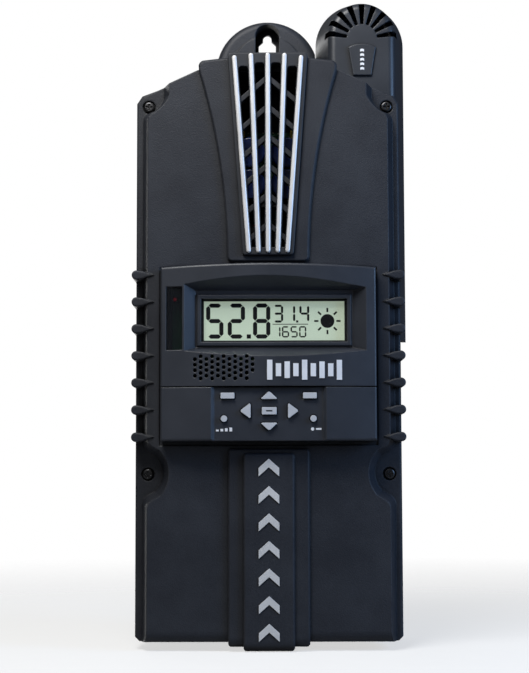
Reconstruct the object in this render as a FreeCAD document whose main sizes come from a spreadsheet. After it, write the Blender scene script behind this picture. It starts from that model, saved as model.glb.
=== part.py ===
import FreeCAD, Part
import math
import os
import re
import Sketcher

# Wall-mounted charge controller. Millimetres, +Z up, the wall is the plane Y = 0 and the front faces -Y.
# The origin is where the wall screw seats in the keyhole. "Depth" is the distance in front of the wall.

dimensions = {
    # outline of the case, seen from the front
    "caseHalf": 73.5, "caseBottom": -355, "cornerCut": 2.4,
    "crownX": 22, "crownZ": -37, "browX": 39, "browZ": -40, "shoulderX": 58.5, "shoulderZ": -47.5,
    "cornerX": 70.5, "cornerZ": -52, "sideTop": -56.5,
    # depths
    "floorDepth": 32, "floorThick": 2.6, "rimDepth": 49.2, "seamDepth": 50, "flangeDepth": 75,
    "plateauDepth": 86, "flareDepth": 88.5, "grilleDepth": 91, "moduleDepth": 101.6,
    "wall": 3, "rearInset": 1.2, "finBack": 2.2, "finThick": 2.4, "finPitch": 8.4, "finTop": -46,
    "partitionZ": -257, "partitionThick": 4, "sideRibReach": 1.9,
    # keyhole ear
    "earCentreZ": -23.4, "earRadius": 30.7, "earHalf": 28.7, "earThick": 18, "earRim": 4.4,
    "earStepRadius": 21.2, "earStep": 0.8,
    "pocketHalf": 7.2, "pocketTop": 5.4, "keyFloor": 3, "slotHalf": 2.6, "entryRadius": 5.2, "entryZ": -8,
    "shoulderTop": -1.4, "shoulderFoot": -3.8,
    # wall screws, cable entries and knockouts
    "wallHoleX": 45, "wallHoleZ": -341, "wallHoleRadius": 2.75,
    "entryX": 32, "conduitRadius": 17, "conduitDepth": 26, "knockoutZ": -310,
    # cover screws
    "screwX": 66.6, "screwTopZ": -58.5, "screwLowZ": -264, "screwBoss": 5, "screwShank": 1.95,
    "screwHole": 2, "screwHead": 3, "screwHeadHigh": 2.2,
    # plateau of the cover
    "plateauHalf": 69.8, "plateauSlope": 3.3, "flangeSoft": 0.9,
    # ribs on the cover's sides
    "ribTopZ": -154.8, "ribPitch": 14.85, "ribHalf": 2.6, "ribTip": 75.2, "ribInner": 62.8, "ribDepth": 87,
    # flared panel, vent grille and bars
    "flareTop": 38.2, "flareBottom": 22.5, "flareLowZ": -147.8,
    "grilleTopHalf": 22.3, "grilleLowHalf": 14.1, "grilleTopZ": -31.2, "grilleLowZ": -144.4,
    "barWide": 2.6, "barProud": 1.3, "barTopPitch": 9.3, "barLowPitch": 5.35, "barLowZ": -142,
    "chevronTopZ": -43.3, "chevronPitch": 16.4, "chevronSlope": 0.85, "chevronThick": 3.3,
    # lower bands
    "bandHalf": 22.2, "bandTop": -250.4, "bandBottom": -357.3,
    "innerBandHalf": 13.9, "innerBandTop": -252.9, "innerBandBottom": -359.4,
    "bandTurn": 5.5, "bandEdge": 1.3, "bandCorner": 2.2,
    "markPitch": 14.75, "markFirstZ": -261.2, "markHalf": 5.6,
    # display module
    "moduleHalf": 58.6, "moduleTop": -150, "moduleShoulder": -151.8, "moduleLow": -246.2,
    "splitZ": -216.8, "splitGap": 0.55,
    "moduleBack": 86.3, "moduleSideDepth": 96, "moduleGap": 1.2, "moduleLowGap": 2.4, "skin": 1.8,
    "lcdLeft": -36.7, "lcdRight": 43, "lcdTop": -168.7, "lcdLow": -192.4, "lipWide": 2.3,
    "recessDepth": 92, "stripLeft": -55.5, "stripRight": -46.8, "stripTop": -162.5, "stripLow": -197.1,
    "stripGap": 0.25, "stripFront": 96.4,
    "holeRadius": 1.05, "holePitchX": 3.11, "holePitchZ": 3, "holeLeft": -39.8, "holeMidZ": -206.75,
    "keypadHalf": 29.4, "keypadSlope": 4.2, "keypadDepth": 98.4, "keyGap": 0.4,
    "keyFront": 100.2, "keyBack": 94.6,
    "keyFlange": 0.6, "keyFlangeThick": 1.4, "keyCorner": 0.45, "softKeyX": 22.2, "softKeyZ": -222,
    "shortArrow": 4.4, "wideArrow": 4.8, "longArrow": 5.9, "slimArrow": 4.4, "arrowNip": 0.1, "keyEdge": 0.2,
    "roundKeyX": 24.1, "roundKeyZ": -234.4, "roundKeyRadius": 1.75,
    "boardDepth": 84.6, "boardThick": 1.6, "displayBackHalf": 55, "displayBackDepth": 71,
    "backTopZ": -156, "backLowZ": -243, "backFlange": 57.5,
    "lampX": -51.2, "lampZ": -168.6, "speakerX": -24.3,
    "trimProud": 0.4, "trimGap": 0.01, "panelGap": 0.2,
    "ornamentX": 0.6, "ornamentZ": -208.2, "ornamentPitch": 4.7, "ornamentWide": 2.9,
    # fan shroud
    "shroudX": 56, "shroudArcZ": -5, "shroudBackHalf": 26.6, "shroudFrontHalf": 19.2, "shroudBack": 1.8,
    "shroudFront": 30, "shroudLow": -185.5, "shroudScrewX": 19.5, "shroudWall": 2.4, "shroudEdge": 4.5,
    "louvreZ": -7.2, "louvreInner": 9, "louvreOuter": 21.6, "louvreInnerHalf": 0.95, "louvreOuterHalf": 1.8,
    "fanRing": 19.6, "fanBore": 18.3, "fanTip": 17.6, "fanHub": 7.4, "fanNear": 2.2, "fanFar": 14,
    "shaftRadius": 1.5, "shaftGap": 0.05,
    # inside
    "powerBoardDepth": 40, "controlBoardDepth": 61, "coreOuter": 19.5, "coreInner": 10, "coreNear": 45,
    "coreFar": 63, "wireThick": 1.9,
    "linkDepth": 38, "bayFanNear": 66.5, "bayFanZ": -134, "bayFanHalf": 20,
}

document = FreeCAD.newDocument("chargeController")
sheet = document.addObject("Spreadsheet::Sheet", "dims")
for row, (alias, number) in enumerate(dimensions.items(), start=1):
    sheet.set(f"A{row}", alias)
    sheet.set(f"B{row}", str(number))
    sheet.setAlias(f"B{row}", alias)
document.recompute()

pieces = []


def bound(expression):
    # an expression on the sheet's names, as FreeCAD wants it
    return re.sub(r"[A-Za-z]\w*", lambda word: "dims." + word.group()
                  if word.group() in dimensions else word.group(), str(expression))


def value(expression):
    return float(sheet.evalExpression(bound(expression)))


def point(pair):
    return FreeCAD.Vector(value(pair[0]), value(pair[1]), 0)


def newPiece(label, exported=True):
    body = document.addObject("PartDesign::Body", label)
    body.Label = label
    if exported:
        pieces.append(body)
    return body


def arcThrough(start, middle, stop):
    # an arc drawn anticlockwise, whichever way it is named
    circle = Part.Arc(start, middle, stop).toShape().Curve
    centre = circle.Center
    if (middle - start).cross(stop - middle).z < 0:
        start, stop = stop, start
    angles = [math.atan2(end.y - centre.y, end.x - centre.x) for end in (start, stop)]
    return Part.ArcOfCircle(Part.Circle(centre, FreeCAD.Vector(0, 0, 1), circle.Radius), *angles)


def bindPoint(sketch, geometry, end, pair):
    for kind, expression in zip(("DistanceX", "DistanceY"), pair):
        index = sketch.addConstraint(Sketcher.Constraint(kind, -1, 1, geometry, end, value(expression)))
        sketch.setExpression(f"Constraints[{index}]", bound(expression))


def drawCircle(sketch, x, y, radius):
    circle = Part.Circle(point((x, y)), FreeCAD.Vector(0, 0, 1), value(radius))
    geometry = sketch.addGeometry(circle)
    bindPoint(sketch, geometry, 3, (x, y))
    index = sketch.addConstraint(Sketcher.Constraint("Radius", geometry, value(radius)))
    sketch.setExpression(f"Constraints[{index}]", bound(radius))


def drawLoop(sketch, loop):
    # each corner is (x, y), or (x, y, (x, y)) where an arc through that third point leaves the corner
    first = sketch.GeometryCount
    corners = [point(corner) for corner in loop]
    following = corners[1:] + corners[:1]
    for corner, start, stop in zip(loop, corners, following):
        if len(corner) > 2:
            sketch.addGeometry(arcThrough(start, point(corner[2]), stop))
        else:
            sketch.addGeometry(Part.LineSegment(start, stop))
    ends = []
    for index, start in enumerate(corners):
        edge = sketch.Geometry[first + index]
        forward = (edge.StartPoint - start).Length < (edge.EndPoint - start).Length
        ends.append((1, 2) if forward else (2, 1))
    for index, corner in enumerate(loop):
        following = (index + 1) % len(loop)
        sketch.addConstraint(Sketcher.Constraint("Coincident", first + index, ends[index][1],
                                                 first + following, ends[following][0]))
        bindPoint(sketch, first + index, ends[index][0], corner[:2])


planes = {"front": "XZ_Plane", "top": "XY_Plane", "side": "YZ_Plane"}


def drawSketch(body, loops, offset, plane="front"):
    # front: x right, y up, offset is depth; top: x right, y back, offset up
    # side: x back, y up, offset right
    sketch = body.newObject("Sketcher::SketchObject", body.Label + "_outline")
    origin = [item for item in body.Origin.OriginFeatures if item.Role == planes[plane]][0]
    sketch.AttachmentSupport = [(origin, "")]
    sketch.MapMode = "FlatFace"
    sketch.setExpression(".AttachmentOffset.Base.z", bound(offset))
    for loop in loops:
        if isinstance(loop, tuple):
            drawCircle(sketch, *loop)
        else:
            drawLoop(sketch, loop)
    return sketch


def settle(feature):
    document.recompute()
    if "Invalid" in feature.State or "Error" in feature.State:
        raise RuntimeError(f"{feature.Name} failed")
    return feature


def pad(body, loops, near, far, plane="front"):
    feature = body.newObject("PartDesign::Pad", body.Label + "_pad")
    feature.Profile = drawSketch(body, loops, near, plane)
    feature.setExpression("Length", bound(f"({far}) - ({near})"))
    return settle(feature)


def pocket(body, loops, near, far, plane="front"):
    before = body.Shape.Volume
    feature = body.newObject("PartDesign::Pocket", body.Label + "_pocket")
    feature.Profile = drawSketch(body, loops, near, plane)
    feature.Reversed = True
    feature.setExpression("Length", bound(f"({far}) - ({near})"))
    settle(feature)
    if not before - body.Shape.Volume > 1e-3:
        raise RuntimeError(f"{feature.Name} cuts nothing")
    return feature


def loft(body, nearLoop, near, farLoop, far, kind="AdditiveLoft", plane="front"):
    feature = body.newObject("PartDesign::" + kind, body.Label + "_loft")
    feature.Profile = drawSketch(body, [nearLoop], near, plane)
    feature.Sections = [drawSketch(body, [farLoop], far, plane)]
    feature.Ruled = True
    return settle(feature)


def roundEdges(body, radius, chosen):
    # chosen is a test on an edge's bounding box
    edges = enumerate(body.Shape.Edges, start=1)
    names = [f"Edge{number}" for number, edge in edges if chosen(edge.BoundBox)]
    base = body.Tip
    feature = body.newObject("PartDesign::Fillet", body.Label + "_fillet")
    feature.Base = (base, names)
    feature.setExpression("Radius", bound(radius))
    return settle(feature)


def polar(body, feature, count, axis):
    pattern = body.newObject("PartDesign::PolarPattern", body.Label + "_polar")
    pattern.Originals = [feature]
    pattern.Axis = ([item for item in body.Origin.OriginFeatures if item.Role == axis][0], [""])
    pattern.Angle = 360
    pattern.Occurrences = count
    body.Tip = pattern
    return settle(pattern)


def atDepth(depth):
    # edges that lie flat at one depth
    level = value(depth)
    return lambda box: abs(box.YMin + level) < 1e-3 and abs(box.YMax + level) < 1e-3


def rectangle(left, right, low, high):
    return [(left, low), (right, low), (right, high), (left, high)]


def roundedRectangle(left, right, low, high, radius):
    short = f"0.2929 * ({radius})"
    return [
        (f"{left} + {radius}", low),
        (f"{right} - {radius}", low, (f"{right} - {short}", f"{low} + {short}")),
        (right, f"{low} + {radius}"),
        (right, f"{high} - {radius}", (f"{right} - {short}", f"{high} - {short}")),
        (f"{right} - {radius}", high),
        (f"{left} + {radius}", high, (f"{left} + {short}", f"{high} - {short}")),
        (left, f"{high} - {radius}"),
        (left, f"{low} + {radius}", (f"{left} + {short}", f"{low} + {short}")),
    ]


def bothSides(half):
    # a closed outline from its right half, which runs from the top to the bottom
    turned = []
    for index in range(len(half) - 1, -1, -1):
        corner = (f"-({half[index][0]})", half[index][1])
        if index and len(half[index - 1]) > 2:
            middle = half[index - 1][2]
            corner += ((f"-({middle[0]})", middle[1]),)
        turned.append(corner)
    return half + turned


def sides(expression):
    return [expression, f"-({expression})"]


# The case

def caseLoop(inset, low=None):
    low = low or f"caseBottom + {inset}"
    return bothSides([
        ("crownX", f"crownZ - ({inset})"),
        (f"browX - 0.2 * ({inset})", f"browZ - ({inset})"),
        (f"shoulderX - 0.3 * ({inset})", f"shoulderZ - ({inset})"),
        (f"cornerX - 0.7 * ({inset})", f"cornerZ - 0.8 * ({inset})"),
        (f"caseHalf - ({inset})", f"sideTop - 0.4 * ({inset})"),
        (f"caseHalf - ({inset})", f"{low} + cornerCut"),
        (f"caseHalf - cornerCut - ({inset})", low),
    ])


def stadium(half, low, x="shroudX", z="shroudArcZ"):
    # straight sides and foot under a half-round top
    return [(f"{x} - ({half})", low), (f"{x} + {half}", low),
            (f"{x} + {half}", z, (x, f"{z} + {half}")), (f"{x} - ({half})", z)]


def ribHeights():
    return [f"ribTopZ - {number} * ribPitch" for number in range(7)]


coverScrewPlaces = [(x, z) for z in ("screwTopZ", "screwLowZ") for x in sides("screwX")]
standoffPlaces = [(x, z) for z in ("-70", "-144", "-240") for x in sides("60")]

# Rear housing: one die casting with the tray, the wiring box, the heat-sink fins and the keyhole ear
rear = newPiece("rear_housing")
pad(rear, [caseLoop("rearInset")], "floorDepth", "rimDepth")
pad(rear, [bothSides([("caseHalf - rearInset", "partitionZ"),
                      ("caseHalf - rearInset", "caseBottom + rearInset + cornerCut"),
                      ("caseHalf - rearInset - cornerCut", "caseBottom + rearInset")])],
    "0", "rimDepth - 0.5")
finPlaces = [f"{number} * finPitch" for number in range(-8, 9) if number != 4]
for group in (finPlaces[:9], finPlaces[9:]):
    pad(rear, [rectangle(f"{x} - 0.5 * finThick", f"{x} + 0.5 * finThick", "partitionZ - 0.5", "finTop")
               for x in group], "finBack", "floorDepth + 0.5")
pad(rear, [stadium("earRadius", "-62", "0", "earCentreZ")], "0", "earThick")
roundEdges(rear, "earRim", lambda box: atDepth("earThick")(box) and box.ZMax > -40)
pad(rear, [stadium("earStepRadius", "-52", "0", "earCentreZ")], "earThick - 1", "earThick + earStep")
pocket(rear, [rectangle("earHalf", "earRadius + 1", "-63", "earCentreZ + 12")], "-1", "earThick + 1")
pad(rear, [rectangle("-(caseHalf - rearInset + sideRibReach)", "-(caseHalf - rearInset - 0.6)",
                     f"{z} - 1.3", f"{z} + 1.3") for z in ribHeights()],
    "floorDepth + 1.5", "rimDepth - 1.5")
pad(rear, [rectangle("caseHalf - rearInset - 0.6", "caseHalf - rearInset + sideRibReach",
                     f"{z} - 1.3", f"{z} + 1.3") for z in ribHeights()],
    "floorDepth + 1.5", "rimDepth - 1.5")
bayDepth = "floorDepth + floorThick"
pocket(rear, [caseLoop("rearInset + wall", "partitionZ")], bayDepth, "rimDepth + 1")
pocket(rear, [rectangle("-(caseHalf - rearInset - wall)", "caseHalf - rearInset - wall",
                        "caseBottom + rearInset + wall", "partitionZ - partitionThick")],
       "3.5", "rimDepth + 1")
pad(rear, [(x, z, "screwBoss") for x, z in coverScrewPlaces[:2]] + [(x, z, "3") for x, z in standoffPlaces],
    "floorDepth + 0.5", "powerBoardDepth")
pad(rear, [(x, z, "screwBoss") for x, z in coverScrewPlaces[:2]], "powerBoardDepth - 0.5", "rimDepth")
pad(rear, [(x, z, "screwBoss") for x, z in coverScrewPlaces[2:]], "2", "rimDepth")
pocket(rear, [(x, z, "screwHole") for x, z in coverScrewPlaces], bayDepth, "rimDepth + 1")
pocket(rear, [(x, z, "1.45") for x, z in standoffPlaces], bayDepth, "powerBoardDepth + 1")
pocket(rear, [rectangle("-52", "52", "partitionZ - partitionThick - 1", "partitionZ + 1")],
       "linkDepth", "rimDepth + 1")
pocket(rear, [stadium("pocketHalf", "-34", "0", "pocketTop - pocketHalf")], "keyFloor", "earThick + 1")
pocket(rear, [stadium("slotHalf", "entryZ", "0", "0")], "-1", "keyFloor + 1")
pocket(rear, [[("-entryRadius", "entryZ", ("0", "entryZ - entryRadius")), ("entryRadius", "entryZ"),
               ("entryRadius", "shoulderFoot"), ("slotHalf", "shoulderTop"), ("-slotHalf", "shoulderTop"),
               ("-entryRadius", "shoulderFoot")]], "-1", "keyFloor + 1")
pocket(rear, [(x, "wallHoleZ", "wallHoleRadius") for x in sides("wallHoleX")], "-1", "6")
pocket(rear, [(x, "-conduitDepth", "conduitRadius") for x in sides("entryX")],
       "caseBottom - 1", "caseBottom + rearInset + wall + 1", "top")
for near, far in (("-caseHalf - 3", "-(caseHalf - rearInset - wall) + 1"),
                  ("caseHalf - rearInset - wall - 1", "caseHalf + 3")):
    pocket(rear, [("-conduitDepth", "knockoutZ", "conduitRadius")], near, far, "side")

# Blanking plugs in the two side knockouts
plugs = newPiece("knockout_plugs")
for inner, rim in (("caseHalf - rearInset - wall", "caseHalf - rearInset"),
                   ("-(caseHalf - rearInset)", "-(caseHalf - rearInset) - 0.9")):
    pad(plugs, [("-conduitDepth", "knockoutZ", "conduitRadius - 0.1")], inner, f"({inner}) + wall", "side")
    pad(plugs, [("-conduitDepth", "knockoutZ", "conduitRadius + 1.6")], rim, f"({rim}) + 0.9", "side")

# Earthing block on the wiring floor
lug = newPiece("ground_lug")
pad(lug, [rectangle("-64", "-52", "-300", "-276")], "3.5", "13")
pocket(lug, [(x, "-8.2", "2.2") for x in ("-61", "-55")], "-301", "-275", "top")
lugScrews = newPiece("ground_screws")
pad(lugScrews, [(x, z, "2.4") for x in ("-61", "-55") for z in ("-282", "-294")], "13", "15")
pocket(lugScrews, [rectangle(f"{x} - 1.9", f"{x} + 1.9", f"{z} - 0.4", f"{z} + 0.4")
                   for x in ("-61", "-55") for z in ("-282", "-294")], "14.2", "16")

# Fan shroud: a moulding over the fins at the right of the back, with a louvred head above the case
shroud = newPiece("fan_shroud")
loft(shroud, stadium("shroudBackHalf", "shroudLow"), "shroudBack", stadium("shroudFrontHalf", "shroudLow"),
     "shroudFront")
roundEdges(shroud, "shroudEdge",
           lambda box: atDepth("shroudFront")(box) and box.ZMax > value("shroudLow") + 1)
loft(shroud, stadium("shroudBackHalf - shroudWall", "shroudLow - 1"), "shroudBack",
     stadium("shroudFrontHalf - shroudWall + 0.6", "shroudLow - 1"), "shroudFront - shroudWall",
     "SubtractiveLoft")
louvres = []
for number in range(9):
    angle = 10 + 20 * number
    corners = []
    for reach, half in (("louvreInner", -1), ("louvreOuter", -1), ("louvreOuter", 1), ("louvreInner", 1)):
        width = "louvreInnerHalf" if reach == "louvreInner" else "louvreOuterHalf"
        corners.append((f"shroudX + {reach} * cos({angle} deg) - ({half}) * {width} * sin({angle} deg)",
                        f"louvreZ + {reach} * sin({angle} deg) + ({half}) * {width} * cos({angle} deg)"))
    louvres.append(corners)
pocket(shroud, louvres, "11", "shroudFront + 1")
pocket(shroud, [rectangle("39.4", "72.6", "shroudLow - 1", "finTop + 0.5")], "shroudFront - shroudWall - 3",
       "shroudFront + 1")
shroudScrewPlaces = [(f"shroudX + {across}", z) for z in ("-34", "-176") for across in sides("shroudScrewX")]
pad(shroud, [(x, z, "2.6") for x, z in shroudScrewPlaces], "shroudBack", "14")
pocket(shroud, [(x, z, "1.5") for x, z in shroudScrewPlaces], "shroudBack - 1", "12")

backPlate = newPiece("shroud_back_plate")
screwSeats = [(x, z, "2.9") for x, z in shroudScrewPlaces]
pad(backPlate, [stadium("shroudBackHalf - 0.3", "shroudLow + 0.3")] + screwSeats, "0.3", "shroudBack")
shroudScrews = newPiece("shroud_screws")
pad(shroudScrews, [(x, z, "1.45") for x, z in shroudScrewPlaces], "shroudBack", "11")
pad(shroudScrews, [(x, z, "2.8") for x, z in shroudScrewPlaces], "0.4", "shroudBack")

# Keystone badge under the louvres
badge = newPiece("shroud_badge")
pad(badge, [[("shroudX - 5.4", "-29.4"), ("shroudX + 5.4", "-29.4"),
             ("shroudX + 8.2", "-12.4", ("shroudX", "-10.4")), ("shroudX - 8.2", "-12.4")]],
    "shroudFront", "shroudFront + 1.6")
roundEdges(badge, "0.5", atDepth("shroudFront + 1.6"))


# Fans: a round or square frame with a motor seat on struts, and a rotor on its shaft
def fanFrame(label, ring, near, far):
    frame = newPiece(label)
    pad(frame, [ring, ("0", "0", "fanBore")], near, far)
    pad(frame, [("0", "0", "fanHub + 0.6")], near, f"{near} + 1.4")
    strut = pad(frame, [rectangle("fanHub - 1", "fanBore + 0.6", "-0.9", "0.9")], near, f"{near} + 1.4")
    polar(frame, strut, 3, "Y_Axis")
    pocket(frame, [("0", "0", "shaftRadius + shaftGap")], f"({near}) - 1", f"({near}) + 2")
    return frame


def fanRotor(label, near):
    rotor = newPiece(label)
    pad(rotor, [("0", "0", "fanHub")], f"{near} + 2", f"{near} + 10.4")
    roundEdges(rotor, "0.8", atDepth(f"{near} + 10.4"))
    pad(rotor, [("0", "0", "shaftRadius")], near, f"{near} + 2.5")
    root = [("2.6", "-3"), ("3.6", "-3.3"), ("-1.6", "2.6"), ("-2.6", "2.9")]
    tip = [("1.9", "-5.2"), ("2.6", "-5.8"), ("-1.4", "4.9"), ("-2.1", "5.5")]
    middle = f"-({near} + 6.2)"
    blade = loft(rotor, [(f"{middle} + {x}", z) for x, z in root], "fanHub - 1.2",
                 [(f"{middle} + {x}", z) for x, z in tip], "fanTip - 0.4", "AdditiveLoft", "side")
    polar(rotor, blade, 7, "Y_Axis")
    return rotor


for body in (fanFrame("shroud_fan_frame", ("0", "0", "fanRing"), "fanNear", "fanFar"),
             fanRotor("shroud_fan_rotor", "fanNear")):
    body.setExpression(".Placement.Base.x", bound("shroudX"))
    body.setExpression(".Placement.Base.z", bound("louvreZ"))

# The second fan stands on two legs in front of the inductors
bayRing = roundedRectangle("-bayFanHalf", "bayFanHalf", "-bayFanHalf", "bayFanHalf", "3")
bayFan = fanFrame("bay_fan_frame", bayRing, "bayFanNear", "bayFanNear + fanFar - fanNear")
pad(bayFan, [rectangle("-4", "4", "-bayFanHalf", "-bayFanHalf + 1.6"),
             rectangle("-4", "4", "bayFanHalf - 1.6", "bayFanHalf")],
    "powerBoardDepth + boardThick", "bayFanNear + 1")
for body in (bayFan, fanRotor("bay_fan_rotor", "bayFanNear")):
    body.setExpression(".Placement.Base.z", bound("bayFanZ"))

# Front cover: flange, stepped plateau, flared panel, ribs and bands in one die casting

def plateauLoop(inset):
    # rounded shoulders, and a notch for each screw
    side, rise = f"({inset})", f"0.75 * ({inset})"
    return bothSides([
        ("crownX", "crownZ"), ("browX", "browZ"),
        (f"58.2 - 1.03 * {side}", "shoulderZ + 0.15"),
        (f"58.2 - 1.03 * {side}", f"-53.5 - 0.15 * {side}",
         (f"61.6 - 0.7 * {side}", f"-59 - 0.56 * {side}")),
        (f"66.6 - {side}", f"-61.9 - 0.6 * {side}", (f"69 - {side}", f"-63.6 - 0.66 * {side}")),
        (f"plateauHalf - {side}", f"-66.4 - {rise}"),
        (f"plateauHalf - {side}", f"-246 + {rise}", (f"68.6 - {side}", f"-249.6 + {rise}")),
        (f"65.4 - {side}", f"-252.2 + {rise}"),
        (f"62.5 - {side}", f"-253.8 + {rise}", (f"58.4 - 1.15 * {side}", "-264")),
        (f"62.5 - {side}", f"-273.4 - {rise}"),
        (f"66.2 - {side}", f"-275.4 - {rise}", (f"69 - {side}", f"-277.9 - {rise}")),
        (f"plateauHalf - {side}", f"-282 - {rise}"),
        (f"plateauHalf - {side}", "caseBottom"),
    ])


def flareLoop(inset):
    # flared panel: wide at the top of the case, narrowing in a long curve
    return bothSides([
        (f"22.4 - 0.1 * ({inset})", f"-33.4 - ({inset})"),
        (f"35.9 - 0.4 * ({inset})", f"-35 - ({inset})",
         (f"37.5 - 0.8 * ({inset})", f"-36 - 0.7 * ({inset})")),
        (f"flareTop + 0.2 - ({inset})", f"-37.9 - 0.3 * ({inset})"),
        (f"flareTop - ({inset})", "-40.5", (f"27.6 - ({inset})", "-86")),
        (f"flareBottom - ({inset})", "flareLowZ + 3",
         (f"flareBottom - 0.88 - 0.7 * ({inset})", f"flareLowZ + 0.88 + 0.7 * ({inset})")),
        ("flareBottom - 3", f"flareLowZ + ({inset})"),
    ])


cover = newPiece("front_cover")
softenedFlange = bothSides([
    ("crownX", "crownZ"), ("browX", "browZ"), ("shoulderX", "shoulderZ"),
    ("cornerX - 0.7 * flangeSoft", "cornerZ - 0.7 * flangeSoft"), ("caseHalf - flangeSoft", "sideTop - 0.4"),
    ("caseHalf - flangeSoft", "caseBottom + cornerCut"), ("caseHalf - cornerCut - flangeSoft", "caseBottom"),
])
pad(cover, [caseLoop("0")], "seamDepth", "flangeDepth - flangeSoft")
loft(cover, caseLoop("0"), "flangeDepth - flangeSoft", softenedFlange, "flangeDepth")
loft(cover, plateauLoop("0"), "flangeDepth", plateauLoop("plateauSlope"), "plateauDepth")
roundEdges(cover, "6", lambda box: atDepth("plateauDepth")(box) and box.ZMax < value("caseBottom") + 0.1)
pad(cover, [flareLoop("0")], "seamDepth + 3", "flareDepth - flangeSoft")
loft(cover, flareLoop("0"), "flareDepth - flangeSoft", flareLoop("flangeSoft"), "flareDepth")


def bandCorners(half, z, toward):
    # what a band's two rounded corners leave out; toward is the sign of their outer side
    short = "0.2929 * bandCorner"
    return [[(f"{side} * ({half} - bandCorner)", z,
              (f"{side} * ({half} - {short})", f"{z} - {toward} * {short}")),
             (f"{side} * {half}", f"{z} - {toward} * bandCorner"),
             (f"{side} * ({half} + 1)", f"{z} - {toward} * bandCorner"),
             (f"{side} * ({half} + 1)", f"{z} + {toward}"),
             (f"{side} * ({half} - bandCorner)", f"{z} + {toward}")] for side in (1, -1)]


for half, top, bottom, depth, ground in (
        ("bandHalf", "bandTop", "bandBottom", "flareDepth", "plateauDepth"),
        ("innerBandHalf", "innerBandTop", "innerBandBottom", "grilleDepth", "flareDepth")):
    # each band runs down the front and turns under the bottom
    turn, short = "bandTurn", "0.2929 * bandTurn"
    edge = "0.2929 * bandEdge"
    pad(cover, [[("-(seamDepth + 3)", bottom),
                 (f"-({depth} - {turn})", bottom, (f"-({depth} - {short})", f"{bottom} + {short}")),
                 (f"-{depth}", f"{bottom} + {turn}"),
                 (f"-{depth}", f"{top} - bandEdge", (f"-({depth} - {edge})", f"{top} - {edge}")),
                 (f"-({depth} - bandEdge)", top), ("-(seamDepth + 3)", top)]], f"-{half}", half, "side")
    roundEdges(cover, "bandEdge - 0.1",
               lambda box: atDepth(depth)(box) and box.ZLength > 60 and box.XLength < 0.01
               and abs(abs(box.XMin) - value(half)) < 0.01)
    pocket(cover, bandCorners(half, top, 1), f"{ground} + 0.01", "grilleDepth + 1")
    pocket(cover, bandCorners(half, bottom, -1), "flangeDepth", "grilleDepth + 1")
for turned in (1, -1):
    ribs = []
    for z in ribHeights():
        ribs.append([(f"{turned} * ribInner", z), (f"{turned} * 69", f"{z} - 2.1"),
                     (f"{turned} * (ribTip - ribHalf)", f"{z} - ribHalf", (f"{turned} * ribTip", z)),
                     (f"{turned} * (ribTip - ribHalf)", f"{z} + ribHalf"), (f"{turned} * 69", f"{z} + 2.1")])
    pad(cover, ribs, "seamDepth", "ribDepth")
roundEdges(cover, "0.8", atDepth("ribDepth"))
pocket(cover, [caseLoop("wall")], "seamDepth - 1", "flangeDepth - wall")
innerHalf = [
    ("crownX - 3", "crownZ - wall"), ("browX - 2", "browZ - wall"), ("50.5", "-46.5"),
    ("50.5", "-56"), ("59", "-69"), ("plateauHalf - plateauSlope - wall", "-74"),
    ("plateauHalf - plateauSlope - wall", "-243"),
    ("50.5", "-250"), ("50.5", "-279"), ("plateauHalf - plateauSlope - wall", "-287"),
    ("plateauHalf - plateauSlope - wall", "caseBottom + 8"),
]
pocket(cover, [bothSides(innerHalf)], "flangeDepth - wall - 1", "plateauDepth - wall")
grilleHalf = [("grilleTopHalf - 2.4", "grilleTopZ - 5"), ("grilleLowHalf - 2.2", "grilleLowZ + 2.4")]
pocket(cover, [bothSides(grilleHalf)], "plateauDepth - wall - 1", "flareDepth + 1")
moduleRecess = [("-(moduleHalf + moduleGap)", "moduleLow - moduleLowGap"),
                ("moduleHalf + moduleGap", "moduleLow - moduleLowGap"),
                ("moduleHalf + moduleGap", "moduleShoulder + moduleGap", ("0", "moduleTop + moduleGap")),
                ("-(moduleHalf + moduleGap)", "moduleShoulder + moduleGap")]
pocket(cover, [moduleRecess], "plateauDepth - 0.7", "flareDepth + 1")
pocket(cover, [rectangle("-(displayBackHalf + 1)", "displayBackHalf + 1", "backLowZ - 1", "backTopZ + 1")],
       "plateauDepth - wall - 1", "plateauDepth + 1")
pad(cover, [(x, z, "screwBoss + 0.8") for x, z in coverScrewPlaces],
    "seamDepth", "flangeDepth - wall + 0.5")
pocket(cover, [(x, z, "screwHole + 0.3") for x, z in coverScrewPlaces], "seamDepth - 1", "flangeDepth + 1")
pocket(cover, [(x, z, "screwHead + 0.7") for x, z in coverScrewPlaces],
       "flangeDepth - 1.2", "flangeDepth + 1")

# Cover screws: pan heads with a cross recess
coverScrews = newPiece("cover_screws")
pad(coverScrews, [(x, z, "screwShank") for x, z in coverScrewPlaces], "rimDepth - 12", "flangeDepth - 1.2")
pad(coverScrews, [(x, z, "screwHead") for x, z in coverScrewPlaces], "flangeDepth - 1.2",
    "flangeDepth - 1.2 + screwHeadHigh")
roundEdges(coverScrews, "1", atDepth("flangeDepth - 1.2 + screwHeadHigh"))


def crossLoop(x, z, reach, half):
    steps = [(half, reach), (half, half), (reach, half), (reach, -half), (half, -half), (half, -reach),
             (-half, -reach), (-half, -half), (-reach, -half), (-reach, half), (-half, half), (-half, reach)]
    return [(f"{x} + {across}", f"{z} + {up}") for across, up in steps]


pocket(coverScrews, [crossLoop(x, z, 2, 0.45) for x, z in coverScrewPlaces],
       "flangeDepth", "flangeDepth + 3")

# Rubber gasket between the two castings
gasket = newPiece("cover_gasket")
pad(gasket, [caseLoop("rearInset + 0.4"), caseLoop("rearInset + wall - 0.4")], "rimDepth", "seamDepth")

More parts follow.
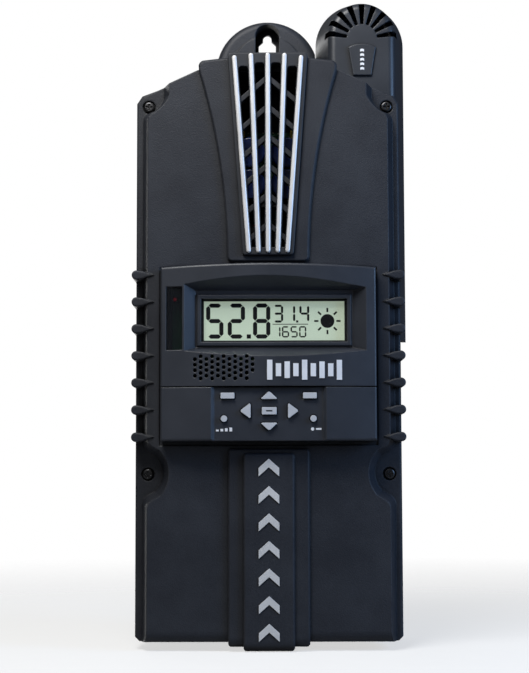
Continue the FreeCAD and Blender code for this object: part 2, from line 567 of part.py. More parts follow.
# Vent grille: raised tapering panel with four slots crossed by chevrons
grille = newPiece("vent_grille")
panelHalf = [("grilleTopHalf - 2.4", "grilleTopZ", ("grilleTopHalf - 0.7", "grilleTopZ - 0.6")),
             ("grilleTopHalf - 0.1", "grilleTopZ - 2.2"),
             ("grilleLowHalf", "grilleLowZ + 1"), ("grilleLowHalf - 1", "grilleLowZ")]
pad(grille, [bothSides(panelHalf)], "flareDepth", "grilleDepth")
roundEdges(grille, "0.8", atDepth("grilleDepth"))
pad(grille, [rectangle("-(grilleTopHalf - 1.4)", "grilleTopHalf - 1.4", "-33.35", "grilleTopZ - 0.6")],
    "flangeDepth", "flareDepth + 0.5")
spigotHalf = [("grilleTopHalf - 2.7", "grilleTopZ - 5.4"), ("grilleLowHalf - 2.5", "grilleLowZ + 2.8")]
pad(grille, [bothSides(spigotHalf)], "plateauDepth - 2", "flareDepth + 0.5")


def barX(number, z):
    # the bars' centres close up from the top pitch to the bottom pitch
    return (f"{number} * (barLowPitch + (barTopPitch - barLowPitch) * ({z} - barLowZ)"
            " / (grilleTopZ - barLowZ))")


slotEdge = "(0.5 * barWide + 0.45)"
slots = []
for number, top in ((-2, "-38.9"), (-1, "-36.9"), (0, "-36.9"), (1, "-38.9")):
    low = "-140.2"
    left = [f"{barX(number, z)} + {slotEdge}" for z in (low, top)]
    right = [f"{barX(number + 1, z)} - {slotEdge}" for z in (low, top)]
    slots.append([(left[0], low), (right[0], low),
                  (right[1], f"{top} - 1.6", (f"{right[1]} - 0.47", f"{top} - 0.47")),
                  (f"{right[1]} - 1.6", top),
                  (f"{left[1]} + 1.6", top, (f"{left[1]} + 0.47", f"{top} - 0.47")),
                  (left[1], f"{top} - 1.6")])
pocket(grille, slots, "plateauDepth - 3", "grilleDepth + 1")
chevrons = []
for number in range(6):
    peak = f"chevronTopZ - {number} * chevronPitch"
    reach = f"(17.6 - {number} * 1.45)"
    chevrons.append([(f"-{reach}", f"{peak} - chevronSlope * {reach}"), ("0", peak),
                     (reach, f"{peak} - chevronSlope * {reach}"),
                     (reach, f"{peak} - chevronSlope * {reach} - chevronThick"),
                     ("0", f"{peak} - chevronThick"),
                     (f"-{reach}", f"{peak} - chevronSlope * {reach} - chevronThick")])
pad(grille, chevrons, "plateauDepth - 1", "grilleDepth - 0.9")

# Five bright bars, inlaid on the grille
bars = newPiece("grille_bars")
barLoops = []
for number, top in ((-2, "-33"), (-1, "-31.8"), (0, "-31.6"), (1, "-31.8"), (2, "-33")):
    low = "barLowZ"
    half = "0.5 * barWide"
    barLoops.append([
        (f"{barX(number, low)} - {half}", low, (barX(number, low), f"{low} - {half}")),
        (f"{barX(number, low)} + {half}", low),
        (f"{barX(number, top)} + {half}", f"{top} - {half}", (barX(number, top), top)),
        (f"{barX(number, top)} - {half}", f"{top} - {half}"),
    ])
pad(bars, barLoops, "grilleDepth", "grilleDepth + barProud")
roundEdges(bars, "1", atDepth("grilleDepth + barProud"))

# Seven small bright marks down the inner band
marks = newPiece("band_marks")
markLoops = []
for number in range(7):
    z = f"markFirstZ - {number} * markPitch"
    markLoops.append([("-markHalf", f"{z} - 4.2"), ("0", f"{z} + 0.8"), ("markHalf", f"{z} - 4.2"),
                      ("markHalf", f"{z} + 0.4"), ("0", f"{z} + 5.4"), ("-markHalf", f"{z} + 0.4")])
pad(marks, markLoops, "grilleDepth", "grilleDepth + 0.6")

# Display module


def crownProfile(back):
    # plan of the module: flat back, front crowned about the vertical axis
    return [("-moduleHalf", f"-({back})"), ("moduleHalf", f"-({back})"),
            ("moduleHalf", "-moduleSideDepth", ("0", "-moduleDepth")), ("-moduleHalf", "-moduleSideDepth")]


bezel = newPiece("display_bezel")
pad(bezel, [crownProfile("moduleBack")], "splitZ", "moduleTop", "top")
pocket(bezel, [[("-moduleHalf - 2", "moduleTop + 2"), ("-moduleHalf - 2", "moduleShoulder"),
                ("-moduleHalf", "moduleShoulder", ("0", "moduleTop - 0.02")),
                ("moduleHalf", "moduleShoulder"), ("moduleHalf + 2", "moduleShoulder"),
                ("moduleHalf + 2", "moduleTop + 2")]],
       "moduleBack - 1", "moduleDepth + 1")
roundEdges(bezel, "1.2",
           lambda box: box.YMax < -value("moduleSideDepth") + 0.3 and box.ZMin > value("splitZ") + 1
           or box.ZLength > 40 and box.XLength < 0.1 and box.YMin < -95)
pocket(bezel, [rectangle("-(moduleHalf - skin)", "moduleHalf - skin", "splitZ + skin",
                         "moduleShoulder - skin")], "moduleBack - 1", "recessDepth - skin")
recessFloor = rectangle("-39.8", "46.2", "-195.6", "-164.2")
recessMouth = [("-50.7", "-199.3", ("4", "-201.6")), ("62", "-199.7"),
               ("62", "-161.3", ("5", "-155.3")), ("-50.7", "-158.6")]
loft(bezel, recessFloor, "recessDepth", recessMouth, "moduleDepth + 2", "SubtractiveLoft")
pad(bezel, [rectangle("lcdLeft - lipWide", "lcdRight + lipWide", "lcdLow - lipWide", "lcdTop + lipWide")],
    "recessDepth - 0.5", "recessDepth + 1")
roundEdges(bezel, "0.6", atDepth("recessDepth + 1"))
pocket(bezel, [rectangle("lcdLeft", "lcdRight", "lcdLow", "lcdTop")],
       "recessDepth - skin - 1", "recessDepth + 2")
pocket(bezel, [rectangle("stripLeft", "stripRight", "stripLow", "stripTop")],
       "recessDepth - skin - 1", "moduleDepth")
speakerHoles = []
for column in range(11):
    count = 5 if column % 2 else 4
    for row in range(3 if column == 10 else count):
        z = f"holeMidZ + ({(count - 1) / 2 - row}) * holePitchZ"
        speakerHoles.append((f"holeLeft + {column} * holePitchX", z, "holeRadius"))
pocket(bezel, speakerHoles, "recessDepth - skin - 1", "moduleDepth + 1")

# Lower frame of the module, with the sunken keypad
frame = newPiece("keypad_frame")
pad(frame, [crownProfile("moduleBack")], "moduleLow", "splitZ - splitGap", "top")
roundEdges(frame, "1.2",
           lambda box: box.YMax < -value("moduleSideDepth") + 0.3 and box.ZMax < value("moduleLow") + 1
           or box.ZLength > 20 and box.XLength < 0.1 and box.YMin < -95)
pocket(frame, [rectangle("-(moduleHalf - skin)", "moduleHalf - skin", "moduleLow + skin",
                         "splitZ - splitGap - skin")], "moduleBack - 1", "keypadDepth - 5.2")
pocket(frame, [rectangle("-(keypadHalf + 1)", "keypadHalf + 1", "moduleLow + 1.2", "splitZ - 1.3")],
       "keypadDepth - 6", "keypadDepth - skin")
loft(frame, rectangle("-keypadHalf", "keypadHalf", "moduleLow - 1", "splitZ + 1"), "keypadDepth",
     rectangle("-keypadHalf - keypadSlope", "keypadHalf + keypadSlope", "moduleLow - 1", "splitZ + 1"),
     "moduleDepth + 1", "SubtractiveLoft")


def triangle(x, z, turn, long, half, grow):
    # an arrow key with its corners nipped off: the apex points along turn, in degrees from +X
    cosine = round(math.cos(math.radians(turn)))
    sine = round(math.sin(math.radians(turn)))
    back = f"(-0.5 * {long} - ({grow}))"
    reach = f"({half} + 1.6 * ({grow}))"
    corners = [(f"(0.5 * {long} + 1.4 * ({grow}))", "0"), (back, reach), (back, f"(-{reach})")]
    nipped = []
    for index, corner in enumerate(corners):
        for other in (corners[index - 1], corners[(index + 1) % 3]):
            nipped.append([f"({mine} + arrowNip * ({theirs} - {mine}))"
                           for mine, theirs in zip(corner, other)])
    return [(f"{x} + {along} * {cosine} - {across} * {sine}",
             f"{z} + {along} * {sine} + {across} * {cosine}") for along, across in nipped]


def grownRectangle(x, z, half, high, grow):
    return rectangle(f"{x} - {half} - ({grow})", f"{x} + {half} + {grow}", f"{z} - {high} - ({grow})",
                     f"{z} + {high} + {grow}")


# each key's outline, grown by a gap or a flange
keyOutlines = {
    "key_soft_left": lambda grow: grownRectangle("-softKeyX", "softKeyZ", 3.75, 1.6, grow),
    "key_soft_right": lambda grow: grownRectangle("softKeyX", "softKeyZ", 3.75, 1.6, grow),
    "key_up": lambda grow: triangle("0.2", "-221.7", 90, "shortArrow", "wideArrow", grow),
    "key_down": lambda grow: triangle("0.2", "-238.8", -90, "shortArrow", "wideArrow", grow),
    "key_left": lambda grow: triangle("-12.7", "-230.2", 180, "longArrow", "slimArrow", grow),
    "key_right": lambda grow: triangle("13.3", "-230.2", 0, "longArrow", "slimArrow", grow),
    "key_enter": lambda grow: grownRectangle("0.3", "-230.2", 4, 2, grow),
    "key_round_left": lambda grow: ("-roundKeyX", "roundKeyZ", f"roundKeyRadius + {grow}"),
    "key_round_right": lambda grow: ("roundKeyX", "roundKeyZ", f"roundKeyRadius + {grow}"),
}
pocket(frame, [outline("keyGap") for outline in keyOutlines.values()], "keypadDepth - 3", "keypadDepth + 1")
for label, outline in keyOutlines.items():
    key = newPiece(label)
    pad(key, [outline("keyFlange")], "keyBack", "keyBack + keyFlangeThick")
    pad(key, [outline("0")], "keyBack + keyFlangeThick", "keyFront")
    if "soft" in label or "enter" in label:
        roundEdges(key, "keyCorner", lambda box: box.YLength > 4)
    roundEdges(key, "keyEdge", atDepth("keyFront"))

# Small generic pictures beside the round keys
icons = newPiece("key_icons")
iconLoops = [rectangle(f"-28.4 + {step} * 2.4", f"-26.9 + {step} * 2.4", "-241.2", f"-240.2 + {step} * 0.35")
             for step in range(4)]
iconLoops += [("23.6", "-240", "0.9"), rectangle("25.4", "28.4", "-240.5", "-239.5")]
pad(icons, iconLoops, "keypadDepth", "keypadDepth + 0.25")

# Silicone keypad: a sheet on the board with one plunger under each key
mat = newPiece("keypad_mat")
boardFront = "boardDepth + boardThick"
pad(mat, [rectangle("-29", "29", "backLowZ + 2.5", "splitZ - 2.4")], boardFront, f"{boardFront} + 1.6")
plungers = [("-softKeyX", "softKeyZ"), ("softKeyX", "softKeyZ"), ("0.2", "-222.4"), ("0.2", "-238.4"),
            ("-12", "-230.2"), ("12.6", "-230.2"), ("0.3", "-230.2"), ("-roundKeyX", "roundKeyZ"),
            ("roundKeyX", "roundKeyZ")]
pad(mat, [(x, z, "1.6") for x, z in plungers], f"{boardFront} + 1.4", "keyBack - 1")

# Display board, glass, window, lamps and loudspeaker
displayBoard = newPiece("display_board")
pad(displayBoard, [rectangle("-(displayBackHalf - 2.3)", "displayBackHalf - 2.3", "backLowZ + 2.3",
                             "backTopZ - 2.3")], "boardDepth", boardFront)
lcd = newPiece("lcd_panel")
pad(lcd, [rectangle("lcdLeft - 3", "lcdRight + 3", "lcdLow - 2.4", "lcdTop + 2.4")], boardFront,
    "recessDepth - 3 - panelGap")
window = newPiece("lcd_window")
pad(window, [rectangle("lcdLeft - 1.6", "lcdRight + 1.6", "lcdLow - 1.6", "lcdTop + 1.6")],
    "recessDepth - 3", "recessDepth - skin")
strip = newPiece("signal_window")
pad(strip, [rectangle("stripLeft + stripGap", "stripRight - stripGap", "stripLow + stripGap",
                      "stripTop - stripGap")], "recessDepth - skin", "stripFront")
lamp = newPiece("status_lamp")
pad(lamp, [("lampX", "lampZ", "1.5")], boardFront, "recessDepth - skin - 1.4")
roundEdges(lamp, "1.2", atDepth("recessDepth - skin - 1.4"))
speaker = newPiece("loudspeaker")
pad(speaker, [("speakerX", "holeMidZ", "8")], boardFront, "recessDepth - 3.2")
roundEdges(speaker, "1", atDepth("recessDepth - 3.2"))
displayBack = newPiece("display_back")
pad(displayBack, [rectangle("-displayBackHalf", "displayBackHalf", "backLowZ", "backTopZ")],
    "displayBackDepth", "moduleBack - 0.9")
roundEdges(displayBack, "3", lambda box: box.YLength > 10)
pad(displayBack, [rectangle("-backFlange", "backFlange", "backLowZ - 2.5", "backTopZ + 3.5")],
    "moduleBack - 0.95", "moduleBack")
pocket(displayBack, [rectangle("-(displayBackHalf - 2)", "displayBackHalf - 2", "backLowZ + 2",
                               "backTopZ - 2")], "displayBackDepth + 2", "moduleBack + 1")
displayScrewPlaces = [(x, z) for z in ("-161", "-236") for x in sides("47")]
pad(displayBack, [(x, z, "2.4") for x, z in displayScrewPlaces], "displayBackDepth + 1", "boardDepth")
pocket(displayBack, [(x, z, "1.3") for x, z in displayScrewPlaces], "displayBackDepth - 1", "boardDepth + 1")
displayScrews = newPiece("display_screws")
pad(displayScrews, [(x, z, "1.25") for x, z in displayScrewPlaces], "displayBackDepth", "boardDepth")
pad(displayScrews, [(x, z, "2.3") for x, z in displayScrewPlaces],
    "displayBackDepth - 1.6", "displayBackDepth")


def crownDepth(x):
    # how far in front of the wall the crowned face stands at x
    radius = "(moduleHalf ^ 2 + (moduleDepth - moduleSideDepth) ^ 2) / (2 * (moduleDepth - moduleSideDepth))"
    return f"(moduleDepth - ({radius}) + sqrt(({radius}) ^ 2 - ({x}) ^ 2))"


# A row of raised bright bars beside the loudspeaker holes
ornament = newPiece("bezel_ornament")
for high, columns in (("5.4", (0, 4, 8)), ("4.5", (2, 6)), ("3.5", (1, 3, 5, 7))):
    profiles = []
    for column in columns:
        left, right = (f"(ornamentX + {column} * ornamentPitch {edge} 0.5 * ornamentWide)" for edge in "-+")
        corners = [(left, "trimGap"), (left, "trimProud"), (right, "trimProud"), (right, "trimGap")]
        profiles.append([(x, f"-{crownDepth(x)} - {proud}") for x, proud in corners])
    pad(ornament, profiles, f"ornamentZ - {high}", f"ornamentZ + {high}", "top")

# Ribbon from the control board to the back of the module
ribbon = newPiece("display_ribbon")
ribbonTurnDepth, ribbonTurnZ = "69.4", "-213.2"
pad(ribbon, [[("-62.8", "-232"), ("-62.8", ribbonTurnZ, ("-64.73", "-208.53")),
              (f"-{ribbonTurnDepth}", "-206.6"), ("-71", "-206.6"), ("-71", "-207.8"),
              (f"-{ribbonTurnDepth}", "-207.8", ("-65.58", "-209.38")),
              ("-64", ribbonTurnZ), ("-64", "-232")]], "-7", "7", "side")

# Electronics


def board(label, left, right, low, high, depth):
    piece = newPiece(label)
    pad(piece, [rectangle(left, right, low, high)], depth, f"{depth} + boardThick")
    return piece


powerBoard = board("power_board", "-65", "65", "-252", "-66", "powerBoardDepth")
boardFace = "powerBoardDepth + boardThick"
pocket(powerBoard, [(x, z, "1.6") for x, z in standoffPlaces], "powerBoardDepth - 1", "powerBoardDepth + 3")
boardScrews = newPiece("board_screws")
pad(boardScrews, [(x, z, "1.4") for x, z in standoffPlaces], "floorDepth + 3", boardFace)
pad(boardScrews, [(x, z, "2.8") for x, z in standoffPlaces], boardFace, f"{boardFace} + 1.8")
roundEdges(boardScrews, "0.7", atDepth(f"{boardFace} + 1.8"))
board("control_board", "-46", "46", "-236", "-162", "controlBoardDepth")
spacers = newPiece("board_spacers")
pad(spacers, [(x, z, "2.6") for z in ("-166", "-232") for x in sides("42")], boardFace, "controlBoardDepth")
corePlaces = [("-24", "-135"), ("24", "-135")]
cores = newPiece("inductor_cores")
pad(cores, [(x, z, radius) for x, z in corePlaces for radius in ("coreOuter", "coreInner")],
    "coreNear", "coreFar")

# Copper turns: square-cornered loops round each core
turns = []
for x, z in corePlaces:
    centre = FreeCAD.Vector(value(x), 0, value(z))
    inner, outer = value("coreInner"), value("coreOuter")
    near, far, thick = value("coreNear"), value("coreFar"), value("wireThick")
    loop = Part.makeBox(outer - inner + 2 * thick, far - near + 2 * thick, thick,
                        FreeCAD.Vector(inner - thick, -far - thick, -thick / 2))
    core = Part.makeBox(outer - inner + 0.1, far - near + 0.1, thick + 2,
                        FreeCAD.Vector(inner - 0.05, -far - 0.05, -thick / 2 - 1))
    turn = loop.cut(core)
    count = 22
    for number in range(count):
        copy = turn.copy()
        copy.rotate(FreeCAD.Vector(0, 0, 0), FreeCAD.Vector(0, 1, 0), 360 * number / count)
        copy.translate(centre)
        turns.append(copy)
windings = document.addObject("Part::Feature", "inductor_windings")
windings.Label = "inductor_windings"
windings.Shape = Part.makeCompound(turns)
pieces.append(windings)

canPlaces = [(x, z) for z in ("-84.2", "-102.4") for x in ("-30", "-10", "10", "30")]
cans = newPiece("bulk_capacitors")
pad(cans, [(x, z, "8.6") for x, z in canPlaces], boardFace, "76")
roundEdges(cans, "1.2", atDepth("76"))
films = newPiece("film_capacitors")
pad(films, [rectangle(f"{x} - 9", f"{x} + 9", "-74.5", "-66.5") for x in sides("22")], boardFace, "58")
transistorPlaces = [f"-84 - {number} * 24" for number in range(6)]
transistors = newPiece("power_transistors")
for x in ("-61.5", "56.5"):
    pad(transistors, [rectangle(x, f"{x} + 5", f"{z} - 8", f"{z} + 8") for z in transistorPlaces],
        boardFace, "60")
clamps = newPiece("transistor_clamps")
for x in ("-56.4", "53.9"):
    pad(clamps, [rectangle(x, f"{x} + 2.5", "-214", "-74")], "48", "56")
jacks = newPiece("cable_jacks")
jackPlaces = ("-36", "-18", "0")
pad(jacks, [rectangle(f"{x} - 7", f"{x} + 7", "-256.5", "-241") for x in jackPlaces], boardFace, "54")
pocket(jacks, [rectangle(f"{x} - 5.5", f"{x} + 5.5", "-257.5", "-248") for x in jackPlaces], "44", "52")
signals = newPiece("signal_terminals")
pad(signals, [rectangle("14", "50", "-256.5", "-244")], boardFace, "52")
pocket(signals, [(f"18 + {number} * 4", "-250", "1.2") for number in range(8)], "48", "53")

# Power terminals on the partition, opening down into the wiring box
terminals = newPiece("power_terminals")
pad(terminals, [rectangle("-50", "50", "-283", "partitionZ - partitionThick")], "18", "linkDepth")
pocket(terminals, [(f"-40 + {number} * 16", "-28", "4.2") for number in range(6)], "-284", "-268", "top")
pocket(terminals, [(f"-40 + {number} * 16", "-274", "3.4") for number in range(6)], "30", "39")
terminalScrews = newPiece("terminal_screws")
pad(terminalScrews, [(f"-40 + {number} * 16", "-274", "3.2") for number in range(6)], "32.5", "36")
pocket(terminalScrews, [rectangle(f"-42.6 + {number} * 16", f"-37.4 + {number} * 16", "-274.5", "-273.5")
                        for number in range(6)], "35", "37")
links = newPiece("bus_links")
pad(links, [rectangle(f"-44 + {number} * 16", f"-36 + {number} * 16", "-268", "-248")
            for number in range(6)], "linkDepth", "powerBoardDepth")

# Check everything, then write one file for each node
document.recompute()
for item in document.Objects:
    if "Invalid" in item.State or "Error" in item.State:
        raise RuntimeError(f"{item.Label} failed: {item.State}")
os.makedirs("parts", exist_ok=True)
for piece in pieces:
    shape = piece.Shape
    if shape.isNull() or not shape.isValid():
        raise RuntimeError(f"{piece.Label} has no valid shape")
    shape.exportStep(f"parts/{piece.Label}.step")
    box = shape.BoundBox
    print(f"{piece.Label}: {len(shape.Solids)} solids, {shape.Volume / 1000:.1f} cm3, "
          f"{box.XLength:.1f} x {box.YLength:.1f} x {box.ZLength:.1f} mm")
print(f"{len(pieces)} pieces")
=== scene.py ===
import math

import bmesh
import bpy
from mathutils import Matrix, Vector


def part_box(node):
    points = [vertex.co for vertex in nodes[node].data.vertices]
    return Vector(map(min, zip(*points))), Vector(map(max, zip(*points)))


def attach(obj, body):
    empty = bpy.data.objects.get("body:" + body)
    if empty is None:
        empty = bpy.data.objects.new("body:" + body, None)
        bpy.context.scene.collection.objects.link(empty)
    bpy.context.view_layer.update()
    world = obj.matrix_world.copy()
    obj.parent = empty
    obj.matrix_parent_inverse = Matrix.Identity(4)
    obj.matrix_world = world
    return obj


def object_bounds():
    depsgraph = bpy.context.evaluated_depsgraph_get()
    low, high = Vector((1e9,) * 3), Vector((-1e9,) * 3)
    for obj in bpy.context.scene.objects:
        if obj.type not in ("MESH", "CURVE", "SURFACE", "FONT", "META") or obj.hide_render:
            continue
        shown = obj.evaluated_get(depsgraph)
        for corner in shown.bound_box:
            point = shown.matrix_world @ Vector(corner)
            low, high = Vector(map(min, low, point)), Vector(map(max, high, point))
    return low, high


# A wall-mounted charge controller. Metres, the front faces -Y, +Z is up, and the wall is the plane Y = 0.

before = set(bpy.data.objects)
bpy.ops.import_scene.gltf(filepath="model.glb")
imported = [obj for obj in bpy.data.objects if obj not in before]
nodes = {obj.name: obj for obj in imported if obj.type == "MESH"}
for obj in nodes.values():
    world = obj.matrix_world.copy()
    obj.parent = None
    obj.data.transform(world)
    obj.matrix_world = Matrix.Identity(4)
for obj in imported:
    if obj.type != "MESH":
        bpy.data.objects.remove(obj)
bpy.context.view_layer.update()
floorGap = 0.0003
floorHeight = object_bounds()[0].z - floorGap
print("frame loaded:", len(nodes), "nodes")

mm = 0.001


class Wire:
    # a node's output, which can stand in a sum
    def __init__(self, graph, socket):
        self.graph = graph
        self.socket = socket

    def maths(self, operation, *values):
        return self.graph.add("Math", {"operation": operation}, dict(enumerate(values)))

    def size(self):
        return self.maths("ABSOLUTE", self)

    def fraction(self):
        return self.maths("FRACT", self)

    def __add__(self, other):
        return self.maths("ADD", self, other)

    def __sub__(self, other):
        return self.maths("SUBTRACT", self, other)

    def __rsub__(self, other):
        return self.maths("SUBTRACT", other, self)

    def __mul__(self, other):
        return self.maths("MULTIPLY", self, other)

    def __truediv__(self, other):
        return self.maths("DIVIDE", self, other)

    def __lt__(self, other):
        return self.maths("LESS_THAN", self, other)

    __radd__ = __add__


class Graph:
    # the node tree of a material or of the world
    def __init__(self, owner):
        owner.use_nodes = True
        self.owner = owner
        self.tree = owner.node_tree

    def add(self, kind, settings=None, inputs=None, output=0):
        node = self.tree.nodes.new("ShaderNode" + kind)
        for name, setting in (settings or {}).items():
            setattr(node, name, setting)
        for name, value in (inputs or {}).items():
            self.feed(node.inputs[name], value)
        return Wire(self, node.outputs[output])

    def feed(self, socket, value):
        if isinstance(value, Wire):
            self.tree.links.new(value.socket, socket)
        else:
            socket.default_value = value

    def blend(self, share, first, second):
        colours = [value if isinstance(value, Wire) else (*value, 1) for value in (first, second)]
        return self.add("Mix", {"data_type": "RGBA"}, {0: share, 6: colours[0], 7: colours[1]}, 2)

    def clamp(self, value):
        return self.add("Clamp", None, {"Value": value})

    def surface(self, **inputs):
        shader = self.tree.nodes["Principled BSDF"]
        for name, value in inputs.items():
            socket = shader.inputs[socketNames[name]]
            self.feed(socket, (*value, 1) if isinstance(value, tuple) else value)
        return self.owner


socketNames = {
    "colour": "Base Color", "metallic": "Metallic", "roughness": "Roughness", "normal": "Normal",
    "alpha": "Alpha", "specular": "Specular IOR Level", "coat": "Coat Weight",
    "coatRoughness": "Coat Roughness", "glow": "Emission Color", "glowStrength": "Emission Strength",
}

# Finishes

plainLook = {
    "colour": (0.03, 0.033, 0.04), "pale": (0.045, 0.048, 0.055), "wearColour": (0.12, 0.125, 0.13),
    "mottle": 30, "mottleGain": 3, "grain": 1200, "grainGloss": 0.1, "speckle": 0.8,
    "bump": 0.25, "bumpHeight": 0.15 * mm, "edge": 0.4 * mm, "wear": 1.5, "wearFineness": 6, "wearGain": 4,
    "roughness": 0.5, "roughSpread": 0.15, "metallic": 0, "specular": 0.5, "coat": 0, "coatRoughness": 0.2,
    # painted shade on what lies further back than a given depth: that depth, its fade and its colour, which
    # the crevice shade also uses
    "soot": None, "sootFade": 0.3 * mm, "sootColour": (0.003, 0.003, 0.004),
    # painted shade in closed-in crevices: its reach, the openness below which it starts, and its strength
    "crevice": None, "openness": 0.88, "creviceGain": 2.2,
}


def makeFinish(name, **changes):
    # mottled colour and gloss, a fine grain, softened edges and light wear along them, with optional painted
    # shade in crevices and on what lies far back
    look = {**plainLook, **changes}
    graph = Graph(bpy.data.materials.new(name))
    place = graph.add("TexCoord", output="Object")
    soft = graph.add("Bevel", {"samples": 6}, {"Radius": look["edge"]})
    face = graph.add("NewGeometry", output="Normal")
    turn = 1 - graph.add("VectorMath", {"operation": "DOT_PRODUCT"}, {0: soft, 1: face}, "Value")
    mottle = graph.add("TexNoise", None, {"Vector": place, "Scale": look["mottle"], "Detail": 4,
                                          "Roughness": 0.6})
    grain = graph.add("TexNoise", None, {"Vector": place, "Scale": look["grain"], "Detail": 2,
                                         "Roughness": 0.5})
    patches = graph.add("TexNoise", None, {"Vector": place, "Scale": look["mottle"] * look["wearFineness"],
                                             "Detail": 3})
    spread = graph.clamp((mottle - 0.35) * look["mottleGain"] + (grain - 0.5) * look["speckle"])
    worn = graph.clamp(turn * look["wear"] * graph.clamp((patches - 0.4) * look["wearGain"]))
    colour = graph.blend(worn, graph.blend(spread, look["colour"], look["pale"]), look["wearColour"])
    if look["crevice"]:
        # painted shade: darkens the joints and hollows between pieces, as far as ambient occlusion finds them
        # closed in
        openness = graph.add("AmbientOcclusion", {"samples": 8}, {"Distance": look["crevice"]}, "AO")
        creviceShade = graph.clamp((look["openness"] - openness) * look["creviceGain"])
        colour = graph.blend(creviceShade, colour, look["sootColour"])
    if look["soot"]:
        # painted shade on what lies further back than this distance in front of the wall
        reach = graph.add("SeparateXYZ", None, {"Vector": place}, "Y") + look["soot"]
        back = graph.clamp(reach / look["sootFade"])
        colour = graph.blend(back, colour, look["sootColour"])
    roughness = graph.clamp(look["roughness"] + (mottle - 0.5) * look["roughSpread"]
                            + (grain - 0.5) * look["grainGloss"])
    normal = graph.add("Bump", None, {"Strength": look["bump"], "Distance": look["bumpHeight"],
                                      "Height": grain, "Normal": soft})
    return graph.surface(colour=colour, roughness=roughness, normal=normal, metallic=look["metallic"],
                         specular=look["specular"], coat=look["coat"], coatRoughness=look["coatRoughness"])


# the coats and mouldings below darken their crevices with painted shade
powderCoat = makeFinish("powderCoat", colour=(0.0165, 0.0185, 0.0245), pale=(0.0255, 0.0285, 0.036),
                        grain=1300, speckle=1.5, bump=0.7, bumpHeight=0.18 * mm, roughness=0.5, specular=0.3,
                        edge=1.1 * mm, crevice=4.5 * mm)
shroudMoulding = makeFinish("shroudMoulding", colour=(0.019, 0.022, 0.028), pale=(0.027, 0.031, 0.039),
                            grain=2200, bump=0.25, bumpHeight=0.08 * mm, roughness=0.36, specular=0.5,
                            edge=0.8 * mm, crevice=4.5 * mm)
bezelPlastic = makeFinish("bezelPlastic", colour=(0.019, 0.0225, 0.0305), pale=(0.027, 0.031, 0.041),
                          grain=2600, bump=0.4, bumpHeight=0.12 * mm, roughness=0.42,
                          specular=0.5, edge=0.7 * mm, crevice=3.5 * mm)
grillePaint = makeFinish("grillePaint", colour=(0.019, 0.021, 0.026), pale=(0.027, 0.0295, 0.035), grain=1200,
                         bump=0.35, bumpHeight=0.08 * mm, roughness=0.5, specular=0.3, edge=0.6 * mm,
                         crevice=3.5 * mm)
brightTrim = makeFinish("brightTrim", colour=(0.68, 0.675, 0.67), pale=(0.76, 0.755, 0.75),
                        wearColour=(0.8, 0.8, 0.8), mottle=60, grain=3000, bump=0.12, bumpHeight=0.04 * mm,
                        roughness=0.38, metallic=0.25, edge=0.2 * mm, wear=0.6)
badgePrint = makeFinish("badgePrint", colour=(0.74, 0.75, 0.78), pale=(0.82, 0.83, 0.85),
                        wearColour=(0.86, 0.86, 0.86), mottle=80, grain=3000, bump=0.1, bumpHeight=0.03 * mm,
                        roughness=0.42, metallic=0.1, edge=0.1 * mm, wear=0.4)
# the keys darken their sides and the gaps around them with painted shade, behind their faces
keyPlastic = makeFinish("keyPlastic", colour=(0.46, 0.475, 0.505), pale=(0.52, 0.535, 0.565),
                        wearColour=(0.6, 0.6, 0.6), mottle=90, grain=2600, bump=0.15, bumpHeight=0.04 * mm,
                        roughness=0.45, edge=0.25 * mm, wear=0.5, soot=0.0988,
                        sootColour=(0.006, 0.006, 0.008))
screwSteel = makeFinish("screwSteel", colour=(0.05, 0.05, 0.053), pale=(0.08, 0.08, 0.083),
                        wearColour=(0.3, 0.3, 0.3), mottle=200, grain=2500, bump=0.15, bumpHeight=0.04 * mm,
                        roughness=0.34, metallic=1, edge=0.2 * mm)
zincSteel = makeFinish("zincSteel", colour=(0.24, 0.245, 0.255), pale=(0.33, 0.33, 0.34),
                       wearColour=(0.6, 0.6, 0.6), mottle=150, grain=2500, bump=0.15, bumpHeight=0.04 * mm,
                       roughness=0.26, metallic=1, edge=0.2 * mm)
blackPlastic = makeFinish("blackPlastic", colour=(0.012, 0.012, 0.013), pale=(0.02, 0.02, 0.021), grain=2200,
                          bump=0.2, bumpHeight=0.06 * mm, roughness=0.5, edge=0.3 * mm, wear=0.6)
rubber = makeFinish("rubber", colour=(0.01, 0.01, 0.01), pale=(0.018, 0.018, 0.018), grain=1600, bump=0.3,
                    bumpHeight=0.08 * mm, roughness=0.75, specular=0.3, wear=0.2)
copperWire = makeFinish("copperWire", colour=(0.5, 0.17, 0.06), pale=(0.62, 0.24, 0.09),
                        wearColour=(0.7, 0.35, 0.2), mottle=120, grain=1800, bump=0.1, bumpHeight=0.05 * mm,
                        roughness=0.3, metallic=0.9, coat=0.6, edge=0.5 * mm)
ferrite = makeFinish("ferrite", colour=(0.02, 0.05, 0.03), pale=(0.03, 0.08, 0.045), grain=900, bump=0.3,
                     roughness=0.4, edge=0.8 * mm, wear=0.3)
canSleeve = makeFinish("canSleeve", colour=(0.012, 0.03, 0.16), pale=(0.018, 0.045, 0.22),
                       wearColour=(0.3, 0.32, 0.36), mottle=60, grain=900, bump=0.06, roughness=0.22,
                       coat=0.5, edge=0.6 * mm, wear=0.5)
terminalGreen = makeFinish("terminalGreen", colour=(0.02, 0.17, 0.05), pale=(0.03, 0.23, 0.07), grain=1800,
                           bump=0.15, roughness=0.4)
filmCase = makeFinish("filmCase", colour=(0.35, 0.26, 0.03), pale=(0.42, 0.31, 0.05), grain=1500, bump=0.1,
                      roughness=0.35, edge=0.6 * mm)
tinnedCopper = makeFinish("tinnedCopper", colour=(0.55, 0.53, 0.5), pale=(0.66, 0.64, 0.6),
                          mottle=90, grain=2000, bump=0.1, roughness=0.3, metallic=1)
ribbonGrey = makeFinish("ribbonGrey", colour=(0.3, 0.3, 0.31), pale=(0.38, 0.38, 0.39), grain=900, bump=0.1,
                        roughness=0.45, wear=0.3)
